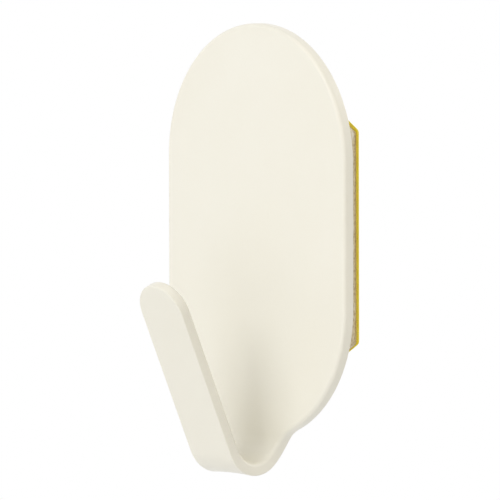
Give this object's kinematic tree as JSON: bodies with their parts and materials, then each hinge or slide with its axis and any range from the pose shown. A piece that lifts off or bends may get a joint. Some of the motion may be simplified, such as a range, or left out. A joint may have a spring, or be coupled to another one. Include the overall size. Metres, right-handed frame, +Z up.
{
  "type": "adhesive wall hook",
  "caption": "Flat ivory wall hook: an upright plate with round ends, whose narrow tongue bends forwards and up, with foam tape and a peel-off liner on its back.",
  "frame": {"origin": "the point of the release liner's back face, in the plane of the wall, straight behind the middle of the plate", "axes": "+Z up along the plate, +Y into the wall, so the hook stands out towards -Y, +X to the right of someone facing the wall"},
  "size_m": [0.0402, 0.0235, 0.0669],
  "materials": {
    "ivory_coat": "satin ivory baked coat on stamped sheet steel",
    "adhesive": "clear tacky acrylic film",
    "foam": "die-cut closed-cell foam with open cells on its cut edge",
    "liner": "yellow silicone-coated release paper, slightly glossy"
  },
  "bodies": {
    "hook": {"hook_body": "ivory_coat", "plate_adhesive": "adhesive", "foam_core": "foam", "wall_adhesive": "adhesive"},
    "liner": {"release_liner": "liner"}
  },
  "joints": [
    {"name": "liner_peel", "type": "slide", "parent": "hook", "child": "liner", "axis": [0, 1, 0], "range_m": [0, 0.03]}
  ]
}
